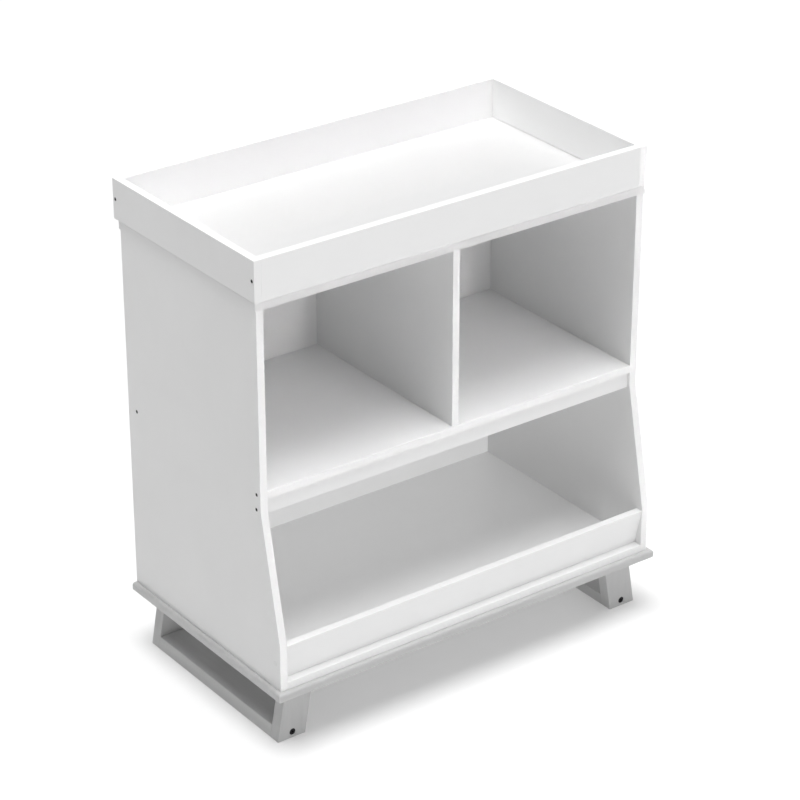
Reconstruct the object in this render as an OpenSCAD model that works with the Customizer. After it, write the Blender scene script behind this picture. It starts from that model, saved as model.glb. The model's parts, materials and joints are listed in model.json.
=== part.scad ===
// Changing table: an open cubby cabinet on two splayed sled feet, with a lift-off changing tray on top.
// X runs along the width, +Y to the back, +Z up. The origin is on the floor, below the middle of the
// whole outline.

/* [Boards] */
// Thickness of the cabinet and tray boards
board_t = 15; // [12:1:20]
// Thickness of the back panels
back_t = 3; // [2:0.5:5]

/* [Tray] */
// Outside width of the tray and of the cabinet's top panel
tray_w = 860; // [700:10:1100]
// Outside depth of the tray, front to back
tray_d = 448.4; // [400:1:600]
// Height of the tray rails above the tray floor
rail_h = 78.5; // [60:0.5:120]
// How far the back rail hangs down behind the top panel
rail_drop = 15; // [12:1:30]
// Gap between the tray's back rail and the cabinet's back edge
rail_gap = 0.4; // [0.3:0.1:1]

/* [Cabinet] */
// Height of the side panels
side_h = 728.5; // [600:0.5:900]
// How far the side panels' outer faces stand in from the tray's sides
side_inset = 3; // [0:0.5:6]
// How far the side panels' upper front edges stand back from the tray's front
side_setback = 1.7; // [0:0.1:6]
// How far the lower bin reaches forward of the upper cabinet
bin_reach = 51; // [20:1:90]
// Height of the straight part at the foot of the side panels' front edge
bin_front_h = 94.5; // [85:0.5:120]
// Height of the sloping part of the side panels' front edge
bin_slope_h = 247; // [150:1:260]
// Clear height of the lower bin, under the fixed shelf
bin_h = 350; // [300:1:420]
// Height of the apron under the fixed shelf
apron_h = 32; // [28:1:60]
// How far the apron stands back from the shelf's front edge
apron_setback = 6; // [0:1:15]
// How far the divider's front edge stands back from the side panels
divider_setback = 3; // [0:1:10]
// Height of the bin's front lip
lip_h = 75; // [50:1:78]
// How far the lip's top leans forward of its foot
lip_lean = 17; // [0:1:22]
// Depth of the rebate that holds a back panel, from the cabinet's back edge
rebate_d = 4; // [3.5:0.5:8]
// Width of that rebate into each side panel
rebate_w = 8; // [6:1:10]
// Gap round a back panel in its rebate
back_gap = 0.5; // [0.2:0.1:1]

/* [Base] */
// Thickness of the base plate
plate_t = 17; // [15:1:25]
// How far the base plate stands out past the side panels and the bin's front
plate_over = 10; // [6:1:20]
// Radius of the base plate's rounded edges
plate_edge_r = 5; // [2:0.5:7]
// Height of the feet, from the floor to the base plate
foot_h = 106; // [90:1:150]
// Width of the foot boards
foot_w = 60; // [50:1:80]
// Thickness of the foot boards
foot_t = 25; // [22:1:30]
// Thickness of the foot's top board
foot_top_t = 15; // [15:1:20]
// Angle at which the feet splay out to the sides
foot_splay = 9.7; // [0:0.1:14]
// Distance from the tray's side to the foot's outer edge at the floor
foot_inset = 9.8; // [0:0.1:60]
// Distance from the base plate's front to the front legs
foot_front_inset = 33.3; // [10:0.1:60]
// Distance from the cabinet's back edge to the back legs
foot_back_inset = 34; // [10:1:60]

/* [Fixings] */
// Diameter of the furniture screws' shanks
screw_d = 5; // [4:0.5:6]
// Diameter of the furniture screws' heads
screw_head_d = 7; // [6.5:0.5:8]
// Height of the furniture screws' heads
screw_head_h = 3; // [2:0.5:4]
// Width of the screws' hexagon sockets, corner to corner
screw_socket_d = 4; // [3:0.5:4.5]
// Depth of the screws' hexagon sockets
screw_socket_depth = 1.8; // [1:0.1:2.5]
// Length of the furniture screws
screw_l = 50; // [40:1:60]
// Diameter of the dowels
dowel_d = 8; // [6:1:8]
// Length of a dowel in a board's face
dowel_face_l = 10; // [8:1:11]
// Length of a dowel in a board's edge
dowel_edge_l = 20; // [15:1:30]
// Diameter of the foot bolts
bolt_d = 6; // [5:1:8]
// Diameter of the foot bolts' heads
bolt_head_d = 13; // [11:1:14]
// Height of the foot bolts' heads
bolt_head_h = 4; // [3:0.5:6]
// Width of the bolts' hexagon sockets, corner to corner
bolt_socket_d = 6; // [4:0.5:8]
// Depth of the bolts' hexagon sockets
bolt_socket_depth = 2.7; // [1.5:0.1:3]
// Gap round a foot bolt's head in its counterbore
bolt_head_gap = 0.2; // [0.1:0.05:0.5]
// Length of the foot bolts
bolt_l = 60; // [50:1:80]
// Diameter of the barrel nuts
nut_d = 10; // [10:1:12]
// Length of the barrel nuts
nut_l = 14; // [12:1:15]
// Distance between the barrel nut and the leg
nut_setback = 24; // [18:1:26]
// Diameter of the white screw caps
cap_d = 11; // [10:1:14]
// Diameter of the caps' stems
cap_stem_d = 9; // [8:1:9]
// Thickness of the white screw caps outside the panel
cap_proud = 0.6; // [0.4:0.1:1]
// Depth of the white screw caps inside the panel
cap_sunk = 1.4; // [1:0.1:2]
// Diameter of the back panels' nails
nail_d = 1.8; // [1.4:0.1:2]
// Diameter of the back panels' nail heads
nail_head_d = 5; // [4:0.5:6]
// Thickness of the back panels' nail heads
nail_head_h = 0.8; // [0.6:0.1:1]
// Length of the back panels' nails
nail_l = 15; // [12:1:20]
// Gap round a screw, dowel, bolt or nail in its hole
fit_gap = 0.1; // [0.05:0.05:0.2]
// Spare depth at the end of a blind hole
hole_spare = 0.5; // [0.3:0.1:1]
// Depth of a screw head's top below the board's face
head_sink = 0.3; // [0.2:0.1:0.5]
// Depth of a foot bolt's head below the leg's face
bolt_sink = 0.5; // [0.2:0.1:1]
// Share of a board's thickness that a screw through its neighbour reaches into it
screw_bite = 0.75; // [0.6:0.05:0.8]
// Play round the tray's fixing screws in the back rail's slots
slot_play = 0.5; // [0.3:0.1:1]

/* [Fixing places] */
// Height of the tray's corner dowels above its floor, and below its rim
tray_dowel_in = 18; // [10:1:22]
// Distance from the tray's sides to its outer fixing screws
fixing_in = 130; // [60:5:250]
// Length of the tray's fixing screws
fixing_l = 40; // [30:1:50]
// Distance from the shelf's front edge to its front screws
shelf_screw_front = 12; // [8:1:20]
// Distance from the cabinet's back edge to the shelf's rear screws
shelf_screw_back = 28; // [20:1:40]
// Distance from the shelf's screws to the dowels beside them
shelf_dowel_step = 48; // [20:1:80]
// Height of the apron's screws above its lower edge
apron_screw_rise = 9.5; // [7:0.5:12]
// Distance from the apron's screws up to its dowels
apron_dowel_step = 14; // [10:1:16]
// Distance from the top panel's front and back edges to its screws
top_screw_in = 60; // [40:1:80]
// Distance from those screws to the dowels beside them
top_dowel_step = 50; // [20:1:60]
// Distance from the divider's front and back edges to its screws
divider_screw_in = 40; // [20:1:60]
// Distance from those screws to the dowels beside them
divider_dowel_step = 60; // [20:1:80]
// Distance from the bin's front and the cabinet's back to the base plate's screws
base_screw_in = 30; // [20:1:40]
// Distance from those screws to the dowels beside them
base_dowel_step = 30; // [20:1:50]
// Distance from the bin's front and the cabinet's back to the screws under the bottom panel
base_mid_in = 90; // [60:1:120]
// Length of the screws from the bottom panel up into the lip
lip_foot_l = 30; // [25:1:32]
// Distance from the bottom panel's ends to those screws
lip_foot_in = 85; // [40:5:200]
// Number of nails along the shelf and the bottom panel
nail_row_n = 4; // [2:1:6]
// Distance from a back panel's corner to its first nail up the side
nail_in = 60; // [30:5:100]
// Distance from the foot's middle to its dowels
foot_dowel_side = 18; // [12:1:18]
// Distance from the foot's legs to the outer screws of its top board
foot_top_screw_in = 40; // [30:1:80]

/* [Hidden] */

$fn = 48;
// how far a cutter reaches past the face that it opens
cut = 1;

white = "whitesmoke";
grey = "darkgray";
dark = "dimgray";
timber = "burlywood";
zinc = "silver";

// depth, from the base plate's front to the tray's back
total_d = plate_over + bin_reach - side_setback + tray_d;
plate_front_y = -total_d / 2;
bin_front_y = plate_front_y + plate_over;
side_front_y = bin_front_y + bin_reach;
tray_front_y = side_front_y - side_setback;
tray_back_y = tray_front_y + tray_d;
cab_back_y = tray_back_y - board_t - rail_gap;
back_panel_y = cab_back_y - rebate_d;

// heights
plate_top_z = foot_h + plate_t;
bin_floor_z = plate_top_z + board_t;
shelf_z = bin_floor_z + bin_h;
shelf_top_z = shelf_z + board_t;
apron_z = shelf_z - apron_h;
side_top_z = plate_top_z + side_h;
tray_floor_z = side_top_z + board_t;
rail_top_z = tray_floor_z + rail_h;
slope_low_z = plate_top_z + bin_front_h;
slope_high_z = slope_low_z + bin_slope_h;

// widths, from the middle
tray_x = tray_w / 2;
side_out_x = tray_x - side_inset;
side_in_x = side_out_x - board_t;
side_mid_x = side_out_x - board_t / 2;
rail_in_x = tray_x - board_t;
plate_x = side_out_x + plate_over;

// front lip: its thickness and lean, measured level
lip_angle = atan(lip_lean / lip_h);
lip_t = board_t / cos(lip_angle);
lip_foot_y = bin_front_y + lip_lean;
lip_top_z = bin_floor_z + lip_h;
lip_mid_y = bin_front_y + lip_lean / 2 + lip_t / 2;
lip_mid_z = bin_floor_z + lip_h / 2;

apron_y = side_front_y + apron_setback;
apron_mid_y = apron_y + board_t / 2;
divider_y = side_front_y + divider_setback;

// places of the fixings
rail_mid_z = tray_floor_z + rail_h / 2;
tray_corner_y = [tray_front_y + board_t / 2, tray_back_y - board_t / 2];
tray_dowel_z = [tray_floor_z + tray_dowel_in, rail_top_z - tray_dowel_in];
fixing_x = [fixing_in - tray_x, 0, tray_x - fixing_in];
fixing_z = side_top_z + board_t / 2;
fixing_seat = head_sink + screw_head_h + rail_gap;

cab_mid_y = (side_front_y + cab_back_y) / 2;
bin_mid_y = (bin_front_y + cab_back_y) / 2;
shelf_mid_z = shelf_z + board_t / 2;
bottom_mid_z = plate_top_z + board_t / 2;
shelf_screw_y = [side_front_y + shelf_screw_front, cab_back_y - shelf_screw_back];
shelf_dowel_y = [shelf_screw_y[0] + shelf_dowel_step, cab_mid_y, shelf_screw_y[1] - shelf_dowel_step];
apron_screw_z = apron_z + apron_screw_rise;
apron_dowel_z = apron_screw_z + apron_dowel_step;
top_screw_y = [tray_front_y + top_screw_in, cab_mid_y, cab_back_y - top_screw_in];
top_dowel_y = [top_screw_y[0] + top_dowel_step, top_screw_y[2] - top_dowel_step];
divider_screw_y = [divider_y + divider_screw_in, back_panel_y - divider_screw_in];
divider_dowel_y = [divider_screw_y[0] + divider_dowel_step, divider_screw_y[1] - divider_dowel_step];
base_side_y = [bin_front_y + base_screw_in, bin_mid_y, cab_back_y - base_screw_in];
bottom_dowel_y = [for (y = base_side_y) y > bin_mid_y ? y - base_dowel_step : y + base_dowel_step];
base_mid_x = [-side_in_x / 2, side_in_x / 2];
base_mid_y = [bin_front_y + base_mid_in, cab_back_y - base_mid_in];
base_mid_l = plate_t + board_t * screw_bite;
lip_screw_x = [lip_foot_in - side_in_x, 0, side_in_x - lip_foot_in];
// these screws stand upright, so they enter the leaning lip where its middle is over half their depth
lip_foot_mid_y = lip_foot_y + lip_t / 2 - (lip_foot_l - board_t) / 2 * lip_lean / lip_h;

// back panels: one above the middle of the shelf's edge and one below
back_x = side_in_x + rebate_w - back_gap;
back_low_z = plate_top_z + back_gap;
back_high_z = side_top_z - back_gap;
nail_seam = board_t / 4;
nail_side_x = side_in_x + rebate_w / 2;
nail_row_step = 2 * side_in_x / nail_row_n;
nail_row_x = [for (i = [0 : nail_row_n - 1]) (i + 0.5) * nail_row_step - side_in_x];
lower_nail_z = [back_low_z + nail_in, (back_low_z + shelf_mid_z) / 2, shelf_mid_z - nail_in];
upper_nail_z = [shelf_mid_z + nail_in, (back_high_z + shelf_mid_z) / 2, back_high_z - nail_in];

// feet
foot_slope = tan(foot_splay);
foot_x = tray_x - foot_inset;
foot_front_y = plate_front_y + foot_front_inset;
foot_back_y = cab_back_y - foot_back_inset;
foot_rail_front_y = foot_front_y + foot_t;
foot_rail_back_y = foot_back_y - foot_t;
foot_top_z = foot_h - foot_top_t;
foot_bolt_z = foot_t / 2;
foot_top_mid_z = foot_h - foot_top_t / 2;
foot_mid_y = (foot_front_y + foot_back_y) / 2;
foot_top_screw_y = [foot_rail_front_y + foot_top_screw_in, foot_mid_y, foot_rail_back_y - foot_top_screw_in];
foot_top_screw_l = foot_top_t + plate_t * screw_bite;

// ---- shared shapes ----

// the shape, and its copy at the other side
module both_sides() {
    children();
    mirror([1, 0, 0]) children();
}

// turns a fixing that points down -Z so that it points towards the middle from the +X side
module inwards() {
    rotate([0, 90, 0]) children();
}

// a plain board from one corner to the opposite one
module board(low, high) {
    translate(low) cube(high - low);
}

// furniture screw, its head's top just below z = 0 and its point down
module furniture_screw(l) {
    difference() {
        union() {
            translate([0, 0, -head_sink - screw_head_h]) cylinder(d = screw_head_d, h = screw_head_h);
            translate([0, 0, -l]) cylinder(d = screw_d, h = l - head_sink - screw_head_h / 2);
        }
        translate([0, 0, -head_sink - screw_socket_depth])
            cylinder(d = screw_socket_d, h = screw_head_h, $fn = 6);
    }
}

// the hole for that screw
module furniture_screw_hole(l) {
    seat_z = -head_sink - screw_head_h;
    translate([0, 0, seat_z]) cylinder(d = screw_head_d + 2 * fit_gap, h = cut - seat_z);
    translate([0, 0, -l - hole_spare]) cylinder(d = screw_d + 2 * fit_gap, h = l + hole_spare + seat_z / 2);
}

// dowel lying along Z: the face part above z = 0, the edge part below
module dowel() {
    translate([0, 0, -dowel_edge_l]) cylinder(d = dowel_d, h = dowel_edge_l + dowel_face_l);
}

// the hole for that dowel
module dowel_hole() {
    translate([0, 0, -dowel_edge_l - hole_spare])
        cylinder(d = dowel_d + 2 * fit_gap, h = dowel_edge_l + dowel_face_l + 2 * hole_spare);
}

// nail pointing to the front, its head on the back panel's back face at y = 0
module nail() {
    rotate([-90, 0, 0]) cylinder(d = nail_head_d, h = nail_head_h);
    rotate([90, 0, 0]) cylinder(d = nail_d, h = nail_l);
}

// the hole for that nail
module nail_hole() {
    rotate([90, 0, 0]) translate([0, 0, -cut])
        cylinder(d = nail_d + 2 * fit_gap, h = nail_l + hole_spare + cut);
}

// ---- places of the fixings ----

// tray corners, +X end
module tray_screws_at_end() {
    for (y = tray_corner_y) translate([tray_x, y, rail_mid_z]) inwards() children();
}

module tray_dowels_at_end() {
    for (y = tray_corner_y, z = tray_dowel_z) translate([rail_in_x, y, z]) inwards() children();
}

// screws through the +X side panel into the shelf and the apron
module shelf_screws_at_end() {
    for (y = shelf_screw_y) translate([side_out_x, y, shelf_mid_z]) inwards() children();
    translate([side_out_x, apron_mid_y, apron_screw_z]) inwards() children();
}

// screw through the +X side panel into the lip, its head under a cap
module lip_screw_at_end() {
    translate([side_out_x - cap_sunk, lip_mid_y, lip_mid_z]) inwards() children();
}

// dowels between the +X side panel and the shelf, the apron and the bottom panel
module panel_dowels_at_end() {
    for (y = shelf_dowel_y) translate([side_in_x, y, shelf_mid_z]) inwards() children();
    for (y = bottom_dowel_y) translate([side_in_x, y, bottom_mid_z]) inwards() children();
    translate([side_in_x, apron_mid_y, apron_dowel_z]) inwards() children();
}

// screws down through the top panel into the +X side panel
module top_screws_at_end() {
    for (y = top_screw_y) translate([side_mid_x, y, tray_floor_z]) children();
}

module top_dowels_at_end() {
    for (y = top_dowel_y) translate([side_mid_x, y, side_top_z]) children();
}

// screws up through the base plate into the +X side panel
module base_screws_at_end() {
    for (y = base_side_y) translate([side_mid_x, y, foot_h]) mirror([0, 0, 1]) children();
}

// shorter screws up through the base plate into the bottom panel
module base_screws_in_middle() {
    for (x = base_mid_x, y = base_mid_y) translate([x, y, foot_h]) mirror([0, 0, 1]) children();
}

module divider_screws_up() {
    for (y = divider_screw_y) translate([0, y, shelf_z]) mirror([0, 0, 1]) children();
}

module divider_dowels_low() {
    for (y = divider_dowel_y) translate([0, y, shelf_top_z]) mirror([0, 0, 1]) children();
}

module divider_dowels_high() {
    for (y = divider_dowel_y) translate([0, y, side_top_z]) children();
}

module lip_screws_up() {
    for (x = lip_screw_x) translate([x, lip_foot_mid_y, plate_top_z]) mirror([0, 0, 1]) children();
}

// screws through the back rail's slots into the top panel's back edge
module fixing_screws_in() {
    for (x = fixing_x) translate([x, tray_back_y, fixing_z]) rotate([-90, 0, 0]) children();
}

// nails along the +X side panel, and along the shelf, the divider and the bottom panel
module nails_at_end() {
    for (z = concat(lower_nail_z, upper_nail_z))
        translate([nail_side_x, back_panel_y + back_t, z]) children();
}

module nails_in_shelf() {
    for (x = nail_row_x, s = [-1, 1])
        translate([x, back_panel_y + back_t, shelf_mid_z + s * nail_seam]) children();
}

module nails_in_bottom() {
    for (x = nail_row_x) translate([x, back_panel_y + back_t, bottom_mid_z]) children();
}

module nails_in_divider() {
    for (z = upper_nail_z) translate([0, back_panel_y + back_t, z]) children();
}

// ---- tray ----

module tray_long_rail(y, low_z) {
    difference() {
        board([-rail_in_x, y, low_z], [rail_in_x, y + board_t, rail_top_z]);
        both_sides() tray_screws_at_end() furniture_screw_hole(screw_l);
        both_sides() tray_dowels_at_end() dowel_hole();
    }
}

module tray_front_rail() {
    color(white) tray_long_rail(tray_front_y, tray_floor_z);
}

module tray_back_rail() {
    color(white) difference() {
        tray_long_rail(tray_back_y - board_t, tray_floor_z - rail_drop);
        for (x = fixing_x) {
            fixing_slot(x, screw_d / 2 + slot_play, board_t + cut);
            fixing_slot(x, screw_head_d / 2 + slot_play, fixing_seat);
        }
    }
}

// slot with a round top, open at the foot of the back rail, cut in from the rail's back face
module fixing_slot(x, r, depth) {
    low_z = tray_floor_z - rail_drop - cut;
    translate([x - r, tray_back_y - depth, low_z]) cube([2 * r, depth + cut, fixing_z - low_z]);
    translate([x, tray_back_y - depth, fixing_z]) rotate([-90, 0, 0]) cylinder(r = r, h = depth + cut);
}

module tray_end_rail() {
    difference() {
        board([rail_in_x, tray_front_y, tray_floor_z], [tray_x, tray_back_y, rail_top_z]);
        tray_screws_at_end() furniture_screw_hole(screw_l);
        tray_dowels_at_end() dowel_hole();
    }
}

module tray_left_rail() {
    color(white) mirror([1, 0, 0]) tray_end_rail();
}

module tray_right_rail() {
    color(white) tray_end_rail();
}

module tray_corner_screws() {
    color(dark) both_sides() tray_screws_at_end() furniture_screw(screw_l);
}

module tray_corner_dowels() {
    color(timber) both_sides() tray_dowels_at_end() dowel();
}

module tray_fixing_screws() {
    color(dark) fixing_screws_in() furniture_screw(fixing_l);
}

// ---- cabinet ----

module top_panel() {
    color(white) difference() {
        board([-tray_x, tray_front_y, side_top_z], [tray_x, cab_back_y, tray_floor_z]);
        both_sides() top_screws_at_end() furniture_screw_hole(screw_l);
        both_sides() top_dowels_at_end() dowel_hole();
        divider_dowels_high() dowel_hole();
        fixing_screws_in() furniture_screw_hole(fixing_l);
    }
}

// side panel's outline, in Y and Z
module side_outline() {
    polygon([
        [bin_front_y, plate_top_z],
        [cab_back_y, plate_top_z],
        [cab_back_y, side_top_z],
        [side_front_y, side_top_z],
        [side_front_y, slope_high_z],
        [bin_front_y, slope_low_z]
    ]);
}

module side_panel() {
    difference() {
        translate([side_in_x, 0, 0]) rotate([90, 0, 90]) linear_extrude(board_t) side_outline();
        board([side_in_x - cut, back_panel_y, plate_top_z - cut],
              [side_in_x + rebate_w, cab_back_y + cut, side_top_z + cut]);
        shelf_screws_at_end() furniture_screw_hole(screw_l);
        lip_screw_at_end() furniture_screw_hole(screw_l);
        translate([side_out_x - cap_sunk, lip_mid_y, lip_mid_z])
            rotate([0, 90, 0]) cylinder(d = cap_stem_d + 2 * fit_gap, h = cap_sunk + cut);
        panel_dowels_at_end() dowel_hole();
        top_screws_at_end() furniture_screw_hole(screw_l);
        top_dowels_at_end() dowel_hole();
        base_screws_at_end() furniture_screw_hole(screw_l);
        nails_at_end() nail_hole();
    }
}

module left_side_panel() {
    color(white) mirror([1, 0, 0]) side_panel();
}

module right_side_panel() {
    color(white) side_panel();
}

module center_divider() {
    color(white) difference() {
        board([-board_t / 2, divider_y, shelf_top_z], [board_t / 2, back_panel_y, side_top_z]);
        divider_screws_up() furniture_screw_hole(screw_l);
        divider_dowels_low() dowel_hole();
        divider_dowels_high() dowel_hole();
        nails_in_divider() nail_hole();
    }
}

module fixed_shelf() {
    color(white) difference() {
        board([-side_in_x, side_front_y, shelf_z], [side_in_x, back_panel_y, shelf_top_z]);
        both_sides() shelf_screws_at_end() furniture_screw_hole(screw_l);
        both_sides() panel_dowels_at_end() dowel_hole();
        divider_screws_up() furniture_screw_hole(screw_l);
        divider_dowels_low() dowel_hole();
        nails_in_shelf() nail_hole();
    }
}

module shelf_apron() {
    color(white) difference() {
        board([-side_in_x, apron_y, apron_z], [side_in_x, apron_y + board_t, shelf_z]);
        both_sides() shelf_screws_at_end() furniture_screw_hole(screw_l);
        both_sides() panel_dowels_at_end() dowel_hole();
    }
}

module bottom_panel() {
    color(white) difference() {
        board([-side_in_x, bin_front_y, plate_top_z], [side_in_x, back_panel_y, bin_floor_z]);
        both_sides() panel_dowels_at_end() dowel_hole();
        base_screws_in_middle() furniture_screw_hole(base_mid_l);
        lip_screws_up() furniture_screw_hole(lip_foot_l);
        nails_in_bottom() nail_hole();
    }
}

// lip board leaning forward, cut level at its foot and its top
module front_lip() {
    color(white) difference() {
        translate([-side_in_x, 0, 0]) rotate([90, 0, 90]) linear_extrude(2 * side_in_x)
            polygon([
                [lip_foot_y, bin_floor_z],
                [lip_foot_y + lip_t, bin_floor_z],
                [bin_front_y + lip_t, lip_top_z],
                [bin_front_y, lip_top_z]
            ]);
        both_sides() lip_screw_at_end() furniture_screw_hole(screw_l);
        lip_screws_up() furniture_screw_hole(lip_foot_l);
    }
}

module upper_back_panel() {
    color(white) difference() {
        board([-back_x, back_panel_y, shelf_mid_z], [back_x, back_panel_y + back_t, back_high_z]);
        both_sides() nails_at_end() nail_hole();
        nails_in_shelf() nail_hole();
        nails_in_divider() nail_hole();
    }
}

module lower_back_panel() {
    color(white) difference() {
        board([-back_x, back_panel_y, back_low_z], [back_x, back_panel_y + back_t, shelf_mid_z - back_gap]);
        both_sides() nails_at_end() nail_hole();
        nails_in_shelf() nail_hole();
        nails_in_bottom() nail_hole();
    }
}

module back_panel_nails() {
    color(zinc) {
        both_sides() nails_at_end() nail();
        nails_in_shelf() nail();
        nails_in_bottom() nail();
        nails_in_divider() nail();
    }
}

module top_panel_screws() {
    color(dark) both_sides() top_screws_at_end() furniture_screw(screw_l);
}

// screws through the side panels into the shelf, the apron and the lip
module shelf_screws() {
    color(dark) both_sides() {
        shelf_screws_at_end() furniture_screw(screw_l);
        lip_screw_at_end() furniture_screw(screw_l);
    }
}

module divider_screws() {
    color(dark) divider_screws_up() furniture_screw(screw_l);
}

module lip_foot_screws() {
    color(zinc) lip_screws_up() furniture_screw(lip_foot_l);
}

module base_screws() {
    color(zinc) {
        both_sides() base_screws_at_end() furniture_screw(screw_l);
        base_screws_in_middle() furniture_screw(base_mid_l);
    }
}

// white caps over the lip's screws
module lip_screw_caps() {
    color(white) both_sides() translate([side_out_x, lip_mid_y, lip_mid_z]) rotate([0, 90, 0]) {
        cylinder(d = cap_d, h = cap_proud);
        translate([0, 0, -cap_sunk]) cylinder(d = cap_stem_d, h = cap_sunk + cap_proud / 2);
    }
}

module panel_dowels() {
    color(timber) both_sides() {
        panel_dowels_at_end() dowel();
        top_dowels_at_end() dowel();
    }
}

module divider_dowels() {
    color(timber) {
        divider_dowels_low() dowel();
        divider_dowels_high() dowel();
    }
}

// ---- base plate ----

// one rounded nose of the plate's section, from u = 0 out to u = reach
module plate_nose(reach) {
    r = plate_edge_r;
    translate([0, foot_h]) square([reach - r, plate_t]);
    translate([0, foot_h + r]) square([reach, plate_t - 2 * r]);
    translate([reach - r, foot_h + r]) circle(r);
    translate([reach - r, plate_top_z - r]) circle(r);
}

// plate rounded along its front and both ends, square along its back
module base_plate() {
    color(grey) difference() {
        intersection() {
            translate([0, cab_back_y, 0]) rotate([90, 0, 0]) linear_extrude(cab_back_y - plate_front_y) {
                plate_nose(plate_x);
                mirror([1, 0]) plate_nose(plate_x);
            }
            translate([-plate_x, cab_back_y, 0]) mirror([0, 1, 0]) rotate([90, 0, 90])
                linear_extrude(2 * plate_x) plate_nose(cab_back_y - plate_front_y);
        }
        both_sides() base_screws_at_end() furniture_screw_hole(screw_l);
        base_screws_in_middle() furniture_screw_hole(base_mid_l);
        both_sides() foot_top_screws_up() furniture_screw_hole(foot_top_screw_l);
    }
}

// ---- feet, drawn for the +X side ----

// middle of the foot's width at a height
function foot_mid_x(z) = foot_x - foot_w / 2 - foot_slope * z;

// leaning slice of the foot between two heights and two depths
module foot_slice(low_z, high_z, low_y, high_y) {
    translate([0, high_y, 0]) rotate([90, 0, 0]) linear_extrude(high_y - low_y)
        polygon([
            [foot_mid_x(low_z) - foot_w / 2, low_z],
            [foot_mid_x(low_z) + foot_w / 2, low_z],
            [foot_mid_x(high_z) + foot_w / 2, high_z],
            [foot_mid_x(high_z) - foot_w / 2, high_z]
        ]);
}

// the child at the front leg's front face and, turned round, at the back leg's back face
module foot_leg_faces() {
    translate([0, foot_front_y, 0]) children();
    translate([0, foot_back_y, 0]) mirror([0, 1, 0]) children();
}

// bolt lying along Y with its head's top just inside y = 0
module foot_bolt() {
    translate([foot_mid_x(foot_bolt_z), 0, foot_bolt_z]) rotate([-90, 0, 0]) difference() {
        union() {
            translate([0, 0, bolt_sink]) cylinder(d = bolt_head_d, h = bolt_head_h);
            translate([0, 0, bolt_sink]) cylinder(d = bolt_d, h = bolt_l);
        }
        cylinder(d = bolt_socket_d, h = bolt_sink + bolt_socket_depth, $fn = 6);
    }
}

module foot_bolt_hole() {
    translate([foot_mid_x(foot_bolt_z), 0, foot_bolt_z]) rotate([-90, 0, 0]) {
        translate([0, 0, -cut])
            cylinder(d = bolt_head_d + 2 * bolt_head_gap, h = cut + bolt_sink + bolt_head_h);
        cylinder(d = bolt_d + 2 * fit_gap, h = bolt_sink + bolt_l + hole_spare);
    }
}

// upright barrel nut in the rail, in a hole drilled from below
module foot_barrel_nut() {
    y = foot_t + nut_setback;
    difference() {
        translate([foot_mid_x(foot_bolt_z), y, foot_bolt_z - nut_l / 2]) cylinder(d = nut_d, h = nut_l);
        foot_bolt_hole();
    }
}

module foot_barrel_nut_hole() {
    y = foot_t + nut_setback;
    translate([foot_mid_x(foot_bolt_z), y, -cut])
        cylinder(d = nut_d + 2 * fit_gap, h = cut + foot_bolt_z + nut_l / 2 + hole_spare);
}

// dowels from the leg into the rail, beside the bolt, and into the top board
module foot_dowels_at_leg() {
    for (s = [-1, 1]) {
        translate([foot_mid_x(foot_bolt_z) + s * foot_dowel_side, foot_t, foot_bolt_z])
            rotate([90, 0, 0]) children();
        translate([foot_mid_x(foot_top_mid_z) + s * foot_dowel_side, foot_t, foot_top_mid_z])
            rotate([90, 0, 0]) children();
    }
}

// screws up through the top board into the base plate
module foot_top_screws_up() {
    for (y = foot_top_screw_y)
        translate([foot_mid_x(foot_top_mid_z), y, foot_top_z]) mirror([0, 0, 1]) children();
}

module foot_leg(low_y) {
    difference() {
        foot_slice(0, foot_h, low_y, low_y + foot_t);
        foot_leg_faces() foot_bolt_hole();
        foot_leg_faces() foot_dowels_at_leg() dowel_hole();
    }
}

module foot_rail() {
    difference() {
        foot_slice(0, foot_t, foot_rail_front_y, foot_rail_back_y);
        foot_leg_faces() foot_bolt_hole();
        foot_leg_faces() foot_barrel_nut_hole();
        foot_leg_faces() foot_dowels_at_leg() dowel_hole();
    }
}

module foot_top_board() {
    difference() {
        foot_slice(foot_top_z, foot_h, foot_rail_front_y, foot_rail_back_y);
        foot_leg_faces() foot_dowels_at_leg() dowel_hole();
        foot_top_screws_up() furniture_screw_hole(foot_top_screw_l);
    }
}

module left_foot_front_leg() {
    color(grey) mirror([1, 0, 0]) foot_leg(foot_front_y);
}

module left_foot_back_leg() {
    color(grey) mirror([1, 0, 0]) foot_leg(foot_rail_back_y);
}

module left_foot_rail() {
    color(grey) mirror([1, 0, 0]) foot_rail();
}

module left_foot_top_board() {
    color(grey) mirror([1, 0, 0]) foot_top_board();
}

module right_foot_front_leg() {
    color(grey) foot_leg(foot_front_y);
}

module right_foot_back_leg() {
    color(grey) foot_leg(foot_rail_back_y);
}

module right_foot_rail() {
    color(grey) foot_rail();
}

module right_foot_top_board() {
    color(grey) foot_top_board();
}

module foot_bolts() {
    color(dark) both_sides() foot_leg_faces() foot_bolt();
}

module foot_barrel_nuts() {
    color(zinc) both_sides() foot_leg_faces() foot_barrel_nut();
}

module foot_dowels() {
    color(timber) both_sides() foot_leg_faces() foot_dowels_at_leg() dowel();
}

module foot_mounting_screws() {
    color(zinc) both_sides() foot_top_screws_up() furniture_screw(foot_top_screw_l);
}

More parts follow.
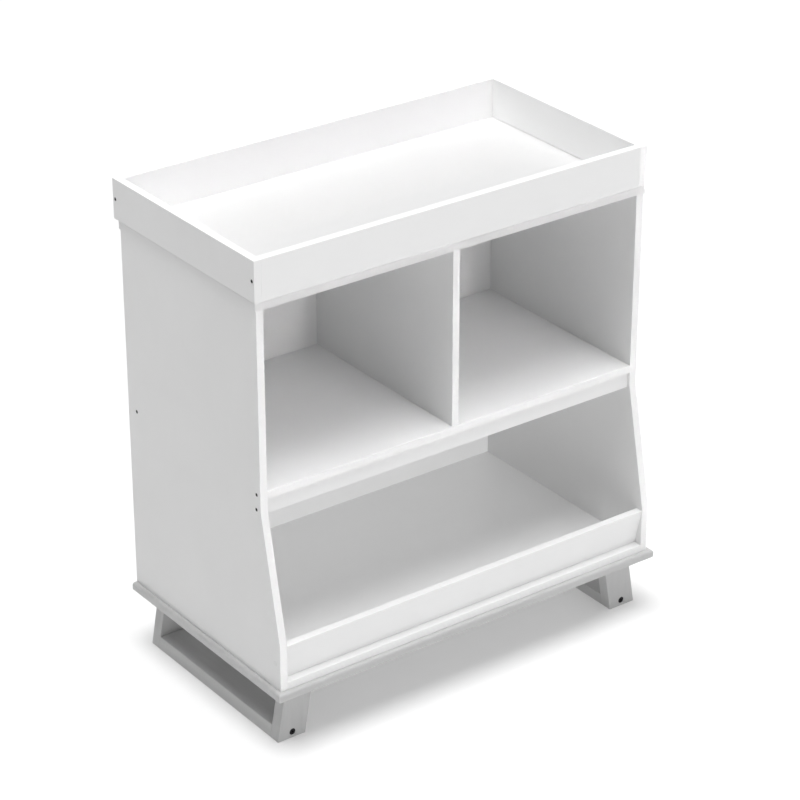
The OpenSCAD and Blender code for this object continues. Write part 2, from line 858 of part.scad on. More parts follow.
tray_front_rail();
tray_back_rail();
tray_left_rail();
tray_right_rail();
tray_corner_screws();
tray_corner_dowels();
tray_fixing_screws();
top_panel();
left_side_panel();
right_side_panel();
center_divider();
fixed_shelf();
shelf_apron();
bottom_panel();
front_lip();
upper_back_panel();
lower_back_panel();
back_panel_nails();
base_plate();
top_panel_screws();
shelf_screws();
divider_screws();
lip_foot_screws();
base_screws();
lip_screw_caps();
panel_dowels();
divider_dowels();
left_foot_front_leg();
left_foot_back_leg();
left_foot_rail();
left_foot_top_board();
right_foot_front_leg();
right_foot_back_leg();
right_foot_rail();
right_foot_top_board();
foot_bolts();
foot_barrel_nuts();
foot_dowels();
foot_mounting_screws();
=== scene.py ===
import json
import math

import bmesh
import bpy
from bpy.props import FloatProperty, FloatVectorProperty, IntProperty, PointerProperty
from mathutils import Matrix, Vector

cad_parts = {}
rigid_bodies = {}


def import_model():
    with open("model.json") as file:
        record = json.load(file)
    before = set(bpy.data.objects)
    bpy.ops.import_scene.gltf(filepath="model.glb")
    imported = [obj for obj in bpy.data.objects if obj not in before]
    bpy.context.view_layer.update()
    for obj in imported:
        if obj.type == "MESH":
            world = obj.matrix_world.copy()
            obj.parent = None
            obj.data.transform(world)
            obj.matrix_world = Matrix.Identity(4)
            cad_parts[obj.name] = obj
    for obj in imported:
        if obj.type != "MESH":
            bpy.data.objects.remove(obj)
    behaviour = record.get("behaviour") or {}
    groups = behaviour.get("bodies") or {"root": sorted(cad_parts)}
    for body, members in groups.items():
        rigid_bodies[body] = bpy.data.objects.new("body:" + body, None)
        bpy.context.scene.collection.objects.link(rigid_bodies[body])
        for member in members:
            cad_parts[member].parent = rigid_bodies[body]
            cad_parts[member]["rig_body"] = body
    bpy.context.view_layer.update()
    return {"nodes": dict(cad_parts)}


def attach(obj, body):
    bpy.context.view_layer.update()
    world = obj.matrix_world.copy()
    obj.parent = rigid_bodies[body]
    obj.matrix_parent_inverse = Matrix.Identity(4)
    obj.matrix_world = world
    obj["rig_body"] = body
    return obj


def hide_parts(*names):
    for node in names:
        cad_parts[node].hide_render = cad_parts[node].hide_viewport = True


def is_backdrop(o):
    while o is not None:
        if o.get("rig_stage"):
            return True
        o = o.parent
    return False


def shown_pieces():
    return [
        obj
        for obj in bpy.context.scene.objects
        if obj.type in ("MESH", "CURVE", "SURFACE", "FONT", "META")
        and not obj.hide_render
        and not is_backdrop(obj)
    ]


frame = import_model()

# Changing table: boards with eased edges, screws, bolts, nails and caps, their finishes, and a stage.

bl_info = {
    "name": "Changing table finishes",
    "version": (1, 0, 0),
    "blender": (4, 5, 0),
    "location": "3D View > Sidebar > Changing Table",
    "description": "Eased boards, fixings, finishes and a stage for the changing table",
    "category": "Object",
}

NODES = frame["nodes"]
BODY_OF = {name: node["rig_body"] for name, node in NODES.items()}
SLOT_OF = {name: node.data.materials[0].name for name, node in NODES.items()}

TRAY_BOARDS = ("tray_front_rail", "tray_back_rail", "tray_left_rail", "tray_right_rail")
CABINET_BOARDS = (
    "top_panel", "left_side_panel", "right_side_panel", "center_divider",
    "fixed_shelf", "shelf_apron", "bottom_panel", "front_lip",
)
BACK_PANELS = ("upper_back_panel", "lower_back_panel")
FOOT_PARTS = ("front_leg", "back_leg", "rail", "top_board")
LONG_SCREWS = (
    "tray_corner_screws", "tray_fixing_screws", "top_panel_screws", "shelf_screws",
    "divider_screws", "lip_foot_screws", "base_screws", "foot_mounting_screws",
)
DOWELS = ("tray_corner_dowels", "panel_dowels", "divider_dowels", "foot_dowels")

# two corners of a CAD mesh closer than this are one
SAME_PLACE = 1e-6
# faces that turn less than this against each other are one flat face
FLAT_ANGLE = math.radians(0.5)
# an edge turns at least this much where it is eased or drawn sharp
SHARP_ANGLE = math.radians(30)
# shorter edges belong to round holes and are left as cut
LEAST_EASED_LENGTH = 0.008


# ---- sizes and colours that a user would change ----

def length(label, text, value, most=0.1):
    """A length of the sizes group, in metres."""
    return FloatProperty(
        name=label, description=text, default=value, min=0.0, max=most,
        precision=5, subtype="DISTANCE", unit="LENGTH",
    )


def colour(label, text, value):
    """A colour of the colours group."""
    return FloatVectorProperty(
        name=label, description=text, default=value, min=0.0, max=1.0, size=3, subtype="COLOR",
    )


class ChangingTableSizes(bpy.types.PropertyGroup):
    """Sizes of the details that the boards and fixings get"""

    board_edge: length("Board edge", "Radius of the white boards' eased edges", 0.0005)
    plate_edge: length("Plate edge", "Radius of the base plate's eased edges", 0.0009)
    panel_edge: length("Back panel edge", "Radius of the thin back panels' edges", 0.0003)
    foot_edge: length("Foot edge", "Radius of the foot boards' eased edges", 0.0014)
    screw_head: length("Screw head", "Height of the furniture screws' heads", 0.003)
    screw_rim: length("Screw rim", "Bevel round the furniture screws' heads", 0.0004)
    screw_socket: length("Screw socket", "Width of the screws' hexagon sockets, corner to corner", 0.004)
    screw_socket_depth: length("Screw socket depth", "Depth of the screws' sockets", 0.0018)
    thread_pitch: length("Thread pitch", "Distance between two turns of the screws' thread", 0.0024)
    thread_depth: length("Thread depth", "Height of the screws' thread", 0.0005)
    bolt_head: length("Bolt head", "Height of the foot bolts' heads", 0.004)
    bolt_rim: length("Bolt rim", "Bevel round the foot bolts' heads", 0.0007)
    bolt_socket: length("Bolt socket", "Width of the bolts' hexagon sockets, corner to corner", 0.006)
    bolt_socket_depth: length("Bolt socket depth", "Depth of the bolts' sockets", 0.0027)
    bolt_pitch: length("Bolt thread pitch", "Distance between two turns of the bolts' thread", 0.001)
    bolt_thread_depth: length("Bolt thread depth", "Height of the bolts' thread", 0.0004)
    nail_head: length("Nail head", "Thickness of the nails' domed heads", 0.0008)
    nail_point: length("Nail point", "Length of the nails' points", 0.0025)
    cap_proud: length("Cap", "Height of the caps' domes outside the side panels", 0.0006)
    seed: IntProperty(name="Turn seed", description="Picks how far each fixing is turned", default=11)


class ChangingTableColours(bpy.types.PropertyGroup):
    """Colours of the finishes and of the floor"""

    white_board: colour("White paint", "Satin paint of the boards", (0.89, 0.89, 0.89))
    white_back_panel: colour("Back panel", "Laminate of the back panels", (0.88, 0.88, 0.88))
    grey_paint: colour("Grey paint", "Satin paint of the base plate and the feet", (0.60, 0.60, 0.60))
    dark_screw: colour("Dark screws", "Black zinc of the screws and bolts that show", (0.035, 0.035, 0.037))
    zinc_screw: colour("Bright screws", "Bright zinc of the fixings underneath", (0.62, 0.62, 0.61))
    beech_dowel: colour("Beech", "Bare beech of the dowels", (0.58, 0.40, 0.23))
    white_plastic: colour("White plastic", "Plastic of the screw caps", (0.84, 0.84, 0.84))
    floor: colour("Floor", "Pale floor", (0.95, 0.95, 0.95))


# ---- wiring shader and geometry nodes ----

class Wiring:
    """Adds nodes to one tree. An input is given as a value or as the socket that feeds it."""

    def __init__(self, tree):
        self.tree = tree

    def add(self, kind, inputs=(), **settings):
        node = self.tree.nodes.new(kind)
        for name, value in settings.items():
            setattr(node, name, value)
        for key, value in dict(inputs).items():
            if isinstance(value, bpy.types.NodeSocket):
                self.tree.links.new(value, node.inputs[key])
            else:
                node.inputs[key].default_value = value
        return node

    def math(self, operation, *values):
        return self.add("ShaderNodeMath", enumerate(values), operation=operation).outputs[0]

    def vector_math(self, operation, *values, output="Vector"):
        return self.add("ShaderNodeVectorMath", enumerate(values), operation=operation).outputs[output]

    def between(self, share, low, high):
        """The value from low to high at a share from 0 to 1."""
        return self.add("ShaderNodeMapRange", {"Value": share, "To Min": low, "To Max": high}).outputs[0]

    def contrast(self, value, low, high):
        """0 where the value is under low, 1 where it is over high."""
        return self.add(
            "ShaderNodeMapRange", {"Value": value, "From Min": low, "From Max": high},
            interpolation_type="SMOOTHSTEP",
        ).outputs[0]

    def noise(self, vector, scale, detail=2.0, roughness=0.5, distortion=0.0):
        return self.add("ShaderNodeTexNoise", {
            "Vector": vector, "Scale": scale, "Detail": detail,
            "Roughness": roughness, "Distortion": distortion,
        }).outputs["Fac"]

    def group(self, name, **values):
        node = self.add("ShaderNodeGroup", node_tree=bpy.data.node_groups[name])
        for label, value in values.items():
            node.inputs[label.replace("_", " ").capitalize()].default_value = value
        return node.outputs


def shared_group(name, inputs, outputs):
    """A new shader node group with float inputs and outputs: its wiring, its inputs and its output node."""
    tree = bpy.data.node_groups.new(name, "ShaderNodeTree")
    for label, value in inputs.items():
        kind = "NodeSocketVector" if isinstance(value, tuple) else "NodeSocketFloat"
        tree.interface.new_socket(label, in_out="INPUT", socket_type=kind).default_value = value
    for label in outputs:
        tree.interface.new_socket(label, in_out="OUTPUT", socket_type="NodeSocketFloat")
    wiring = Wiring(tree)
    return wiring, wiring.add("NodeGroupInput").outputs, wiring.add("NodeGroupOutput").inputs


def place_of(wiring):
    return wiring.add("ShaderNodeTexCoord").outputs["Object"]


def make_orange_peel():
    """Fine pebbling that a sprayed paint or a moulding leaves, with its fine and its broad waves."""
    wiring, given, out = shared_group("orange_peel", {"Cells": 900.0, "Waves": 14.0}, ["Height"])
    place = place_of(wiring)
    fine = wiring.noise(place, given["Cells"], detail=3.0, roughness=0.55)
    broad = wiring.noise(place, given["Waves"], detail=1.0)
    wiring.tree.links.new(wiring.math("MULTIPLY_ADD", broad, 2.5, fine), out["Height"])


def make_handling_marks():
    """Broad smudges and thin wiped streaks, from 0 to 1, for roughness and a breath of colour."""
    wiring, given, out = shared_group("handling_marks", {"Patches": 5.0, "Wipes": 26.0}, ["Smudge", "Wipe"])
    place = place_of(wiring)
    patch = wiring.noise(place, given["Patches"], detail=4.0, roughness=0.6, distortion=0.4)
    wiring.tree.links.new(wiring.contrast(patch, 0.35, 0.7), out["Smudge"])
    slanted = wiring.add("ShaderNodeMapping", {
        "Vector": place, "Rotation": (0.3, 0.5, 0.4), "Scale": (0.15, 1.0, 0.4),
    }).outputs["Vector"]
    streak = wiring.noise(slanted, given["Wipes"], detail=3.0, roughness=0.65)
    wiring.tree.links.new(wiring.contrast(streak, 0.45, 0.75), out["Wipe"])


def make_edge_wear_and_highlight():
    """Mask of a board's or a fixing's outer edges, broken up so that it isn't an even line. The white boards,
    the grey paint and the caps lighten their edges by it as a painted highlight; the plated fixings use it for
    real rubbed wear.
    """
    wiring, given, out = shared_group("edge_wear", {"Reach": 0.002, "Patches": 60.0, "Bare": 0.4}, ["Mask"])
    eased = wiring.add("ShaderNodeBevel", {"Radius": given["Reach"]}, samples=4).outputs["Normal"]
    flat = wiring.add("ShaderNodeNewGeometry").outputs["Normal"]
    likeness = wiring.vector_math("DOT_PRODUCT", eased, flat, output="Value")
    edge = wiring.contrast(wiring.math("SUBTRACT", 1.0, likeness), 0.01, 0.22)
    patch = wiring.noise(place_of(wiring), given["Patches"], detail=4.0, roughness=0.6)
    broken = wiring.contrast(wiring.math("MULTIPLY_ADD", patch, 1.0, given["Bare"]), 0.45, 0.95)
    wiring.tree.links.new(wiring.math("MULTIPLY", edge, broken), out["Mask"])


def make_wood_grain():
    """Long fibres and growth rings of a board. Stretch is the grain's fineness along X, Y and Z."""
    wiring, given, out = shared_group(
        "wood_grain", {"Stretch": (1.0, 1.0, 1.0), "Rings": 5.0}, ["Fibres", "Rings", "Height"],
    )
    drawn = wiring.vector_math("MULTIPLY", place_of(wiring), given["Stretch"])
    fibres = wiring.noise(drawn, 9.0, detail=6.0, roughness=0.66, distortion=0.3)
    rings = wiring.add("ShaderNodeTexWave", {
        "Vector": drawn, "Scale": given["Rings"], "Distortion": 5.0, "Detail": 3.0,
        "Detail Scale": 1.2, "Detail Roughness": 0.55,
    }, wave_type="RINGS", rings_direction="SPHERICAL").outputs["Fac"]
    links = wiring.tree.links
    links.new(wiring.contrast(fibres, 0.35, 0.68), out["Fibres"])
    links.new(rings, out["Rings"])
    links.new(wiring.math("MULTIPLY_ADD", rings, 0.35, fibres), out["Height"])


def make_machining():
    """Fine turning marks and pits of a small metal fixing."""
    wiring, given, out = shared_group("machining", {"Marks": 4200.0, "Pits": 1500.0}, ["Marks", "Height"])
    place = place_of(wiring)
    marks = wiring.noise(place, given["Marks"], detail=2.0, roughness=0.6)
    pits = wiring.noise(place, given["Pits"], detail=4.0, roughness=0.7)
    wiring.tree.links.new(wiring.contrast(pits, 0.4, 0.7), out["Marks"])
    wiring.tree.links.new(wiring.math("MULTIPLY_ADD", marks, 0.4, pits), out["Height"])


SHARED_GROUPS = (
    make_orange_peel, make_handling_marks, make_edge_wear_and_highlight, make_wood_grain, make_machining,
)


# ---- finishes ----

def new_finish(name):
    """A new material: itself, its wiring and its shader."""
    finish = bpy.data.materials.new(name)
    finish.use_nodes = True
    wiring = Wiring(finish.node_tree)
    return finish, wiring, finish.node_tree.nodes["Principled BSDF"]


def toned(wiring, colour_in, factor, colour_out):
    """A mix from one colour, a value or a socket, to another by a factor from 0 to 1."""
    mixed = wiring.add("ShaderNodeMix", {"Factor": factor}, data_type="RGBA", clamp_factor=True)
    for socket, value in zip([s for s in mixed.inputs if s.type == "RGBA"], (colour_in, colour_out)):
        if isinstance(value, bpy.types.NodeSocket):
            wiring.tree.links.new(value, socket)
        else:
            socket.default_value = (*value, 1.0)
    return [s for s in mixed.outputs if s.type == "RGBA"][0]


def shade(base, share):
    return tuple(min(1.0, c * share) for c in base)


def finish_off(wiring, shader, colour_socket, roughness_socket, height, strength, distance):
    """Feeds a shader its colour, its roughness and its bump."""
    links = wiring.tree.links
    links.new(colour_socket, shader.inputs["Base Color"])
    links.new(roughness_socket, shader.inputs["Roughness"])
    bump = wiring.add("ShaderNodeBump", {"Height": height, "Strength": strength, "Distance": distance})
    links.new(bump.outputs["Normal"], shader.inputs["Normal"])


def make_painted_board(name, base, peel_depth):
    """Satin paint or laminate on a smooth board."""
    finish, wiring, shader = new_finish(name)
    marks = wiring.group("handling_marks", patches=4.0, wipes=22.0)
    peel = wiring.group("orange_peel", cells=950.0, waves=16.0)
    wear_and_highlight = wiring.group("edge_wear", reach=0.0016, patches=45.0, bare=0.3)
    smudged = toned(wiring, base, marks["Smudge"], shade(base, 0.982))
    wiped = toned(wiring, smudged, marks["Wipe"], shade(base, 0.99))
    # painted highlight: the eased edges are lightened as if they caught the light
    edged = toned(wiring, wiped, wear_and_highlight["Mask"], shade(base, 1.03))
    shader.inputs["Specular IOR Level"].default_value = 0.4
    rough = wiring.between(marks["Smudge"], 0.36, 0.47)
    finish_off(wiring, shader, edged, rough, peel["Height"], 0.35, peel_depth)
    return finish


def make_grey_paint(name, base, stretch):
    """Satin paint that lets the wood's grain show a little, drawn out along the board."""
    finish, wiring, shader = new_finish(name)
    grain = wiring.group("wood_grain", stretch=stretch, rings=1.4)
    marks = wiring.group("handling_marks", patches=6.0, wipes=30.0)
    wear_and_highlight = wiring.group("edge_wear", reach=0.0022, patches=70.0, bare=0.45)
    streaked = toned(wiring, base, grain["Fibres"], shade(base, 0.93))
    ringed = toned(wiring, streaked, wiring.math("MULTIPLY", grain["Rings"], 0.35), shade(base, 0.95))
    smudged = toned(wiring, ringed, wiring.math("MULTIPLY", marks["Smudge"], 0.6), shade(base, 0.96))
    # painted highlight: the eased edges are lightened as if they caught the light
    edged = toned(wiring, smudged, wear_and_highlight["Mask"], shade(base, 1.16))
    shader.inputs["Specular IOR Level"].default_value = 0.4
    rough = wiring.between(grain["Fibres"], 0.42, 0.54)
    finish_off(wiring, shader, edged, rough, grain["Height"], 0.3, 0.0003)
    return finish


def make_plated_metal(name, base, worn, smooth, coarse):
    """Plated steel with fine turning marks, worn brighter at its rims."""
    finish, wiring, shader = new_finish(name)
    marks = wiring.group("machining", marks=4200.0, pits=1300.0)
    wear_and_highlight = wiring.group("edge_wear", reach=0.0004, patches=420.0, bare=0.35)
    pitted = toned(wiring, base, marks["Marks"], shade(base, 0.78))
    rubbed = toned(wiring, pitted, wear_and_highlight["Mask"], worn)
    shader.inputs["Metallic"].default_value = 0.85
    rough = wiring.between(marks["Marks"], smooth, coarse)
    finish_off(wiring, shader, rubbed, rough, marks["Height"], 0.25, 0.0001)
    return finish


def make_bare_beech(name, base):
    """Bare beech with short flecks along the dowel."""
    finish, wiring, shader = new_finish(name)
    grain = wiring.group("wood_grain", stretch=(9.0, 40.0, 40.0), rings=2.0)
    marks = wiring.group("handling_marks", patches=60.0, wipes=200.0)
    flecked = toned(wiring, base, grain["Fibres"], shade(base, 0.74))
    ringed = toned(wiring, flecked, wiring.math("MULTIPLY", grain["Rings"], 0.5), shade(base, 0.85))
    aged = toned(wiring, ringed, wiring.math("MULTIPLY", marks["Smudge"], 0.4), shade(base, 1.1))
    rough = wiring.between(grain["Fibres"], 0.6, 0.78)
    finish_off(wiring, shader, aged, rough, grain["Height"], 0.4, 0.0002)
    return finish


def make_moulded_plastic(name, base):
    """Matt moulded plastic with a fine spark-eroded skin."""
    finish, wiring, shader = new_finish(name)
    peel = wiring.group("orange_peel", cells=2600.0, waves=120.0)
    marks = wiring.group("handling_marks", patches=90.0, wipes=300.0)
    wear_and_highlight = wiring.group("edge_wear", reach=0.0005, patches=300.0, bare=0.3)
    smudged = toned(wiring, base, marks["Smudge"], shade(base, 0.97))
    # painted highlight: the caps' rims are lightened as if they caught the light
    edged = toned(wiring, smudged, wear_and_highlight["Mask"], shade(base, 1.04))
    rough = wiring.between(marks["Smudge"], 0.42, 0.55)
    finish_off(wiring, shader, edged, rough, peel["Height"], 0.3, 0.0001)
    return finish


# how fine the grey boards' grain is along X, Y and Z, for grain that runs along each of them
GRAIN_ALONG = {"x": (0.5, 9.0, 9.0), "y": (9.0, 0.5, 9.0), "z": (9.0, 9.0, 0.5)}


def make_finishes(colours):
    """Every finish of the changing table, by name."""
    for make in SHARED_GROUPS:
        make()
    make_painted_board("satin_white_paint", colours.white_board, 0.00012)
    make_painted_board("white_laminate", colours.white_back_panel, 0.00020)
    for axis, stretch in GRAIN_ALONG.items():
        make_grey_paint("grey_paint_" + axis, colours.grey_paint, stretch)
    make_plated_metal("black_zinc", colours.dark_screw, (0.12, 0.12, 0.12), 0.34, 0.5)
    make_plated_metal("bright_zinc", colours.zinc_screw, (0.75, 0.75, 0.75), 0.24, 0.42)
    make_bare_beech("bare_beech", colours.beech_dowel)
    make_moulded_plastic("moulded_plastic", colours.white_plastic)


FINISH_OF_SLOT = {
    "white_board": "satin_white_paint",
    "white_back_panel": "white_laminate",
    "dark_screw": "black_zinc",
    "zinc_screw": "bright_zinc",
    "beech_dowel": "bare_beech",
    "white_plastic": "moulded_plastic",
}


def finish_of(node):
    """The finish that belongs to the node's slot."""
    return finish_named(FINISH_OF_SLOT[SLOT_OF[node]])


def finish_named(name):
    if name not in bpy.data.materials:
        raise RuntimeError(f"no finish is named {name}; run the finishes first")
    return bpy.data.materials[name]


# ---- boards ----

def merged_copy(node):
    """The node's CAD mesh with its loose triangles joined into whole flat faces."""
    made = bmesh.new()
    made.from_mesh(NODES[node].data)
    bmesh.ops.remove_doubles(made, verts=made.verts, dist=SAME_PLACE)
    bmesh.ops.dissolve_limit(made, angle_limit=FLAT_ANGLE, verts=made.verts, edges=made.edges)
    return made


def shown_piece(name, mesh, node, finish):
    """A new piece that rides on the node's body, replaces it and takes its slot."""
    mesh.materials.clear()
    mesh.materials.append(finish)
    piece = bpy.data.objects.new(name, mesh)
    bpy.context.scene.collection.objects.link(piece)
    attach(piece, BODY_OF[node])
    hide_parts(node)
    return piece


def drop_custom_normals(mesh):
    layer = mesh.attributes.get("custom_normal")
    if layer:
        mesh.attributes.remove(layer)


def eased_board(node, radius, finish):
    """The node's board with its long edges rounded over a little."""
    made = merged_copy(node)
    weight = made.edges.layers.float.new("bevel_weight_edge")
    for edge in made.edges:
        turn = edge.calc_face_angle(0.0)
        if turn > SHARP_ANGLE and edge.calc_length() > LEAST_EASED_LENGTH:
            edge[weight] = 1.0
    mesh = bpy.data.meshes.new(node + "_eased")
    made.to_mesh(mesh)
    made.free()
    drop_custom_normals(mesh)
    mesh.shade_smooth()
    mesh.set_sharp_from_angle(angle=SHARP_ANGLE)
    piece = shown_piece(node + "_eased", mesh, node, finish)
    easing = piece.modifiers.new("eased edges", "BEVEL")
    easing.width = radius
    easing.segments = 3
    easing.limit_method = "WEIGHT"
    easing.harden_normals = True
    easing.loop_slide = False
    return piece


# ---- fixings ----

class Fixing:
    """One screw, bolt, nail or cap of a CAD node: the middle of its head's top, the way that top faces,
    its length and its widths."""

    def __init__(self, corners):
        low = [min(c[k] for c in corners) for k in range(3)]
        high = [max(c[k] for c in corners) for k in range(3)]
        span = [high[k] - low[k] for k in range(3)]
        # a round fixing is as wide as it is deep, so its axis is the odd one out
        self.axis = min(range(3), key=lambda k: abs(span[k - 1] - span[k - 2]))
        self.length = span[self.axis]
        middle = Vector((a + b) / 2 for a, b in zip(low, high))
        ends = []
        for end in (low[self.axis], high[self.axis]):
            radii = [self.radius_of(c - middle) for c in corners if abs(c[self.axis] - end) < SAME_PLACE * 10]
            ends.append(max(radii))
        self.head_radius = max(ends)
        self.foot_radius = min(ends)
        top_is_high = ends[1] > ends[0]
        self.place = middle.copy()
        self.place[self.axis] = high[self.axis] if top_is_high else low[self.axis]
        self.aim = Vector((0.0, 0.0, 0.0))
        self.aim[self.axis] = 1.0 if top_is_high else -1.0

    def radius_of(self, offset):
        flat = offset.copy()
        flat[self.axis] = 0.0
        return flat.length


def fixings_of(node):
    """Every loose fixing of a CAD node."""
    made = bmesh.new()
    made.from_mesh(NODES[node].data)
    bmesh.ops.remove_doubles(made, verts=made.verts, dist=SAME_PLACE)
    made.verts.ensure_lookup_table()
    seen = set()
    found = []
    for start in made.verts:
        if start.index in seen:
            continue
        seen.add(start.index)
        reached = [start]
        for vert in reached:
            for edge in vert.link_edges:
                other = edge.other_vert(vert)
                if other.index not in seen:
                    seen.add(other.index)
                    reached.append(other)
        found.append(Fixing([v.co.copy() for v in reached]))
    made.free()
    return found


# sides of a turned fixing: a multiple of six, so that a hexagon's corners fall on them
TURNED_SIDES = 36
# steps round each turn of a thread
THREAD_STEPS = 14


def summed(wiring, given, terms):
    """The sum of shares of the tree's inputs, such as {"Head diameter": 0.5, "Rim": -1}."""
    total = 0.0
    for label, share in terms.items():
        total = wiring.math("MULTIPLY_ADD", given[label], share, total)
    return total


def picked(wiring, index, values):
    """A value for each row of the profile."""
    switch = wiring.add("GeometryNodeIndexSwitch", {"Index": index}, data_type="FLOAT")
    while len(switch.index_switch_items) < len(values):
        switch.index_switch_items.new()
    for row, value in enumerate(values):
        if isinstance(value, bpy.types.NodeSocket):
            wiring.tree.links.new(value, switch.inputs[row + 1])
        else:
            switch.inputs[row + 1].default_value = value
    return switch.outputs[0]


def turned_body(wiring, given, profile):
    """A closed body turned round Z. Each row of the profile is its radius, its height and whether it is a
    hexagon, from the middle of the head's top to the middle of the tip."""
    rows = len(profile)
    grid = wiring.add("GeometryNodeMeshGrid", {
        "Size X": 1.0, "Size Y": 1.0, "Vertices X": TURNED_SIDES + 1, "Vertices Y": rows,
    }).outputs["Mesh"]
    index = wiring.add("GeometryNodeInputIndex").outputs[0]
    row = wiring.add("FunctionNodeIntegerMath", {0: index, 1: rows}, operation="MODULO").outputs[0]
    column = wiring.add("FunctionNodeIntegerMath", {0: index, 1: rows}, operation="DIVIDE_FLOOR").outputs[0]
    angle = wiring.math("MULTIPLY", column, math.tau / TURNED_SIDES)
    radius = picked(wiring, row, [summed(wiring, given, r) for r, z, hexagon in profile])
    height = picked(wiring, row, [summed(wiring, given, z) for r, z, hexagon in profile])
    is_hexagon = picked(wiring, row, [float(hexagon) for r, z, hexagon in profile])
    sixth = wiring.math("SUBTRACT", wiring.math("MODULO", angle, math.tau / 6), math.tau / 12)
    flat = wiring.math("DIVIDE", math.cos(math.tau / 12), wiring.math("COSINE", sixth))
    reach = wiring.math("MULTIPLY", radius, wiring.between(is_hexagon, 1.0, flat))
    spot = wiring.add("ShaderNodeCombineXYZ", {
        "X": wiring.math("MULTIPLY", reach, wiring.math("COSINE", angle)),
        "Y": wiring.math("MULTIPLY", reach, wiring.math("SINE", angle)),
        "Z": height,
    }).outputs[0]
    placed = wiring.add("GeometryNodeSetPosition", {"Geometry": grid, "Position": spot}).outputs[0]
    return wiring.add("GeometryNodeMergeByDistance", {"Geometry": placed, "Distance": SAME_PLACE}).outputs[0]


def wound_thread(wiring, given):
    """A ridge wound round the shank, from its tip up."""
    turns = wiring.math("DIVIDE", given["Threaded length"], given["Thread pitch"])
    core = summed(wiring, given, {"Shank diameter": 0.5, "Thread depth": -1.0})
    spiral = wiring.add("GeometryNodeCurveSpiral", {
        "Resolution": THREAD_STEPS, "Rotations": turns, "Start Radius": core, "End Radius": core,
        "Height": given["Threaded length"],
    }).outputs[0]
    ridge = wiring.add("GeometryNodeCurvePrimitiveCircle", {
        "Resolution": 4, "Radius": given["Thread depth"],
    }, mode="RADIUS").outputs["Curve"]
    wound = wiring.add("GeometryNodeCurveToMesh", {
        "Curve": spiral, "Profile Curve": ridge, "Fill Caps": True,
    }).outputs[0]
    low = wiring.add("ShaderNodeCombineXYZ", {
        "Z": summed(wiring, given, {"Length": -1.0, "Thread pitch": 0.5}),
    }).outputs[0]
    return wiring.add("GeometryNodeTransform", {"Geometry": wound, "Translation": low}).outputs[0]


def fixing_tree(name, sizes, profile, threaded=False):
    """A Geometry Nodes tree that stands one turned fixing on every point of its carrier.

    A point's "aim" says which way the head's top faces. Sizes are the named inputs and their defaults."""
    tree = bpy.data.node_groups.new(name, "GeometryNodeTree")
    face = tree.interface
    face.new_socket("Geometry", in_out="INPUT", socket_type="NodeSocketGeometry")
    for label, value in sizes.items():
        socket = face.new_socket(label, in_out="INPUT", socket_type="NodeSocketFloat")
        socket.default_value = value
    face.new_socket("Turn seed", in_out="INPUT", socket_type="NodeSocketInt")
    face.new_socket("Finish", in_out="INPUT", socket_type="NodeSocketMaterial")
    face.new_socket("Geometry", in_out="OUTPUT", socket_type="NodeSocketGeometry")
    wiring = Wiring(tree)
    given = wiring.add("NodeGroupInput").outputs
    one = turned_body(wiring, given, profile)
    if threaded:
        joined = wiring.add("GeometryNodeJoinGeometry")
        wiring.tree.links.new(wound_thread(wiring, given), joined.inputs[0])
        wiring.tree.links.new(one, joined.inputs[0])
        one = joined.outputs[0]
    aim = wiring.add("GeometryNodeInputNamedAttribute", {"Name": "aim"}, data_type="FLOAT_VECTOR").outputs[0]
    upright = wiring.add("FunctionNodeAlignRotationToVector", {"Vector": aim}, axis="Z").outputs[0]
    stood = wiring.add("GeometryNodeInstanceOnPoints", {
        "Points": given["Geometry"], "Instance": one, "Rotation": upright,
    }).outputs[0]
    turn = wiring.add("FunctionNodeRandomValue", {"Seed": given["Turn seed"]}, data_type="FLOAT")
    [s for s in turn.inputs if s.name == "Max" and s.type == "VALUE"][0].default_value = math.tau
    amount = [s for s in turn.outputs if s.type == "VALUE"][0]
    spin = wiring.add("ShaderNodeCombineXYZ", {"Z": amount}).outputs[0]
    spun = wiring.add("GeometryNodeRotateInstances", {"Instances": stood, "Rotation": spin}).outputs[0]
    real = wiring.add("GeometryNodeRealizeInstances", {"Geometry": spun}).outputs[0]
    dressed = wiring.add("GeometryNodeSetMaterial", {"Geometry": real, "Material": given["Finish"]}).outputs[0]
    wiring.add("NodeGroupOutput", {"Geometry": dressed})
    return tree


def grown_mesh(tree, name, fixings, values, finish, seed):
    """The plain mesh that a tree makes of a carrier with one point for each fixing."""
    carrier_mesh = bpy.data.meshes.new(name + "_carrier")
    carrier_mesh.from_pydata([f.place for f in fixings], [], [])
    aims = carrier_mesh.attributes.new("aim", "FLOAT_VECTOR", "POINT")
    for point, fixing in zip(aims.data, fixings):
        point.vector = fixing.aim
    carrier = bpy.data.objects.new(name + "_carrier", carrier_mesh)
    bpy.context.scene.collection.objects.link(carrier)
    grower = carrier.modifiers.new(name, "NODES")
    grower.node_group = tree
    settings = {**values, "Turn seed": seed, "Finish": finish}
    for item in tree.interface.items_tree:
        if item.in_out == "INPUT" and item.name in settings:
            grower[item.identifier] = settings[item.name]
    shown = carrier.evaluated_get(bpy.context.evaluated_depsgraph_get())
    mesh = bpy.data.meshes.new_from_object(shown)
    bpy.data.objects.remove(carrier)
    bpy.data.meshes.remove(carrier_mesh)
    if not mesh.polygons:
        raise RuntimeError(f"{name}: the tree made nothing")
    return mesh


